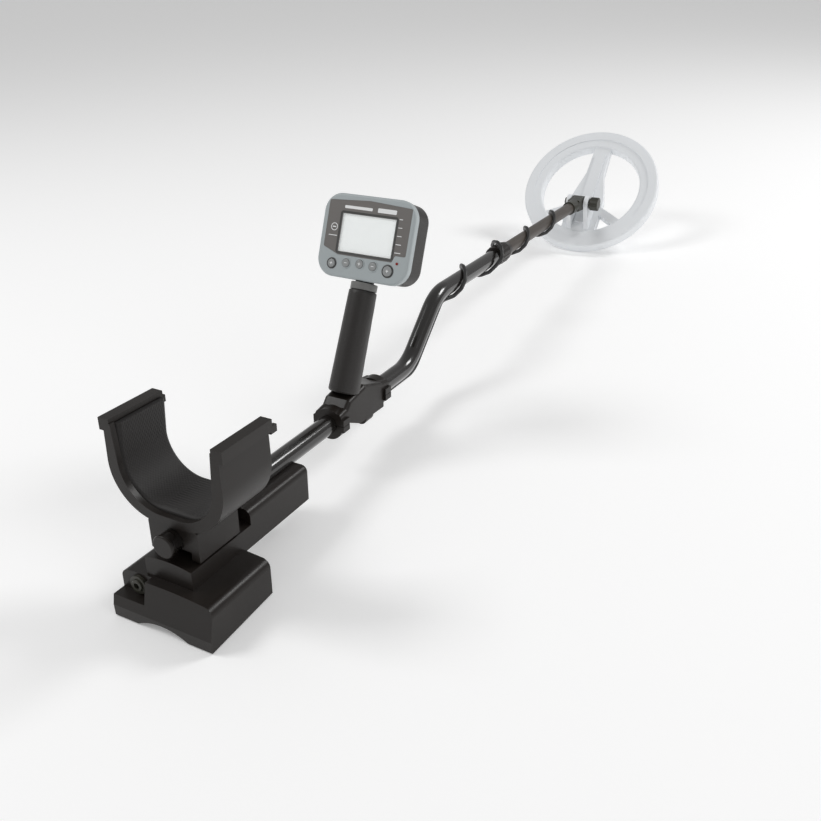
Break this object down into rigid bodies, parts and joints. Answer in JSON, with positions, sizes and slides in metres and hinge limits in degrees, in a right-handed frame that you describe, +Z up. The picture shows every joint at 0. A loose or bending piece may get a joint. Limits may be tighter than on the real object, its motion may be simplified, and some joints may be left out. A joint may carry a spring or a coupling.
{
  "type": "hand-held metal detector",
  "caption": "Hand-held metal detector: arm cuff and battery stand, foam grip under a display pod, S-shaped rod, sliding lower rod, coil cable and a tilting ring search coil",
  "frame": {"origin": "centre of the object's box on the ground, under the stand's feet and the coil's rear edge", "axes": "+Y runs forward from the arm cuff to the coil, +X is the user's right, +Z is up"},
  "size_m": [0.252, 1.3222, 0.2954],
  "materials": {
    "tube_gloss_black": "gloss black anodised tube",
    "rod_dark": "dark grey-brown fibre rod, satin",
    "plastic_black": "near-black satin plastic with a fine grain",
    "rubber_black": "matt black rubber",
    "cuff_foam": "black fabric-faced foam liner",
    "grip_foam": "dark closed-cell foam",
    "trim_light": "light grey satin ring",
    "bezel_blue_grey": "light blue-grey satin plastic",
    "panel_taupe": "taupe-grey printed overlay",
    "lcd_window": "clear glossy window",
    "lcd_face": "pale reflective display",
    "button_rubber": "dark satin keys",
    "circuit_board": "green board",
    "steel": "plated screws",
    "contact_metal": "plated contacts",
    "cell_jacket": "plain wrapped cells",
    "coil_white": "white satin plastic",
    "winding_tape": "varnished copper windings bound in tape",
    "fitting_dark": "dark nylon fitting",
    "cable_black": "black cable jacket"
  },
  "bodies": {
    "main": {"rear_tube": "tube_gloss_black", "tube_end_plug": "plastic_black", "electronics_case": "plastic_black", "electronics_cover": "plastic_black", "case_screws": "steel", "main_board": "circuit_board", "battery_case": "plastic_black", "door_runners": "plastic_black", "battery_cells": "cell_jacket", "battery_contacts": "contact_metal", "headphone_socket": "fitting_dark", "foot_pads": "rubber_black", "grip_base": "plastic_black", "clamp_caps": "plastic_black", "clamp_screws": "steel", "grip_post": "plastic_black", "grip_sleeve": "grip_foam", "neck_collar": "trim_light", "pod_rear_shell": "plastic_black", "pod_bezel": "bezel_blue_grey", "face_panel": "panel_taupe", "lcd_window": "lcd_window", "lcd_module": "lcd_face", "pod_board": "circuit_board", "speaker": "plastic_black", "pod_screws": "steel", "screw_posts": "plastic_black", "s_rod": "tube_gloss_black", "cable_upper": "cable_black", "cable_gland": "plastic_black"},
    "arm_cuff": {"cuff_shell": "plastic_black", "cuff_pad": "cuff_foam", "cuff_saddle": "plastic_black", "cuff_screws": "steel"},
    "battery_door": {"battery_door": "plastic_black"},
    "lock_collar": {"lock_collar": "plastic_black"},
    "lower_rod": {"lower_rod": "rod_dark", "rod_end": "fitting_dark", "pivot_washers": "rubber_black", "cable_lower": "cable_black"},
    "coil": {"coil_top_shell": "coil_white", "coil_bottom_shell": "coil_white", "coil_windings": "winding_tape", "coil_gland": "rubber_black", "coil_bolt": "fitting_dark"},
    "coil_knob": {"coil_knob": "fitting_dark"},
    "button_1": {"button_1": "button_rubber"},
    "button_2": {"button_2": "button_rubber"},
    "button_3": {"button_3": "button_rubber"},
    "button_4": {"button_4": "button_rubber"},
    "button_5": {"button_5": "button_rubber"}
  },
  "joints": [
    {"name": "cuff_slide", "type": "slide", "parent": "main", "child": "arm_cuff", "axis": [0, 0.9982, -0.0593], "range_m": [0, 0.015]},
    {"name": "door_slide", "type": "slide", "parent": "main", "child": "battery_door", "axis": [0, 0.9982, -0.0593], "range_m": [0, 0.06]},
    {"name": "collar_turn", "type": "hinge", "parent": "main", "child": "lock_collar", "pos_m": [0, 0.11426, 0.11255], "axis": [0, 0.9982, -0.0593], "range_deg": [0, 90]},
    {"name": "rod_slide", "type": "slide", "parent": "main", "child": "lower_rod", "axis": [0, 0.9982, -0.0593], "range_m": [0, 0.12]},
    {"name": "coil_tilt", "type": "hinge", "parent": "lower_rod", "child": "coil", "pos_m": [0, 0.4906, 0.09019], "axis": [1, 0, 0], "range_deg": [-46, 44], "deforming": ["cable_lower"]},
    {"name": "knob_turn", "type": "hinge", "parent": "coil", "child": "coil_knob", "pos_m": [0, 0.4906, 0.09019], "axis": [1, 0, 0], "continuous": true},
    {"name": "button_1_press", "type": "slide", "parent": "main", "child": "button_1", "axis": [0, 0.9128, -0.4083], "range_m": [0, 0.001], "stiffness_N_per_m": 800},
    {"name": "button_2_press", "type": "slide", "parent": "main", "child": "button_2", "axis": [0, 0.9128, -0.4083], "range_m": [0, 0.001], "stiffness_N_per_m": 800},
    {"name": "button_3_press", "type": "slide", "parent": "main", "child": "button_3", "axis": [0, 0.9128, -0.4083], "range_m": [0, 0.001], "stiffness_N_per_m": 800},
    {"name": "button_4_press", "type": "slide", "parent": "main", "child": "button_4", "axis": [0, 0.9128, -0.4083], "range_m": [0, 0.001], "stiffness_N_per_m": 800},
    {"name": "button_5_press", "type": "slide", "parent": "main", "child": "button_5", "axis": [0, 0.9128, -0.4083], "range_m": [0, 0.001], "stiffness_N_per_m": 800}
  ]
}
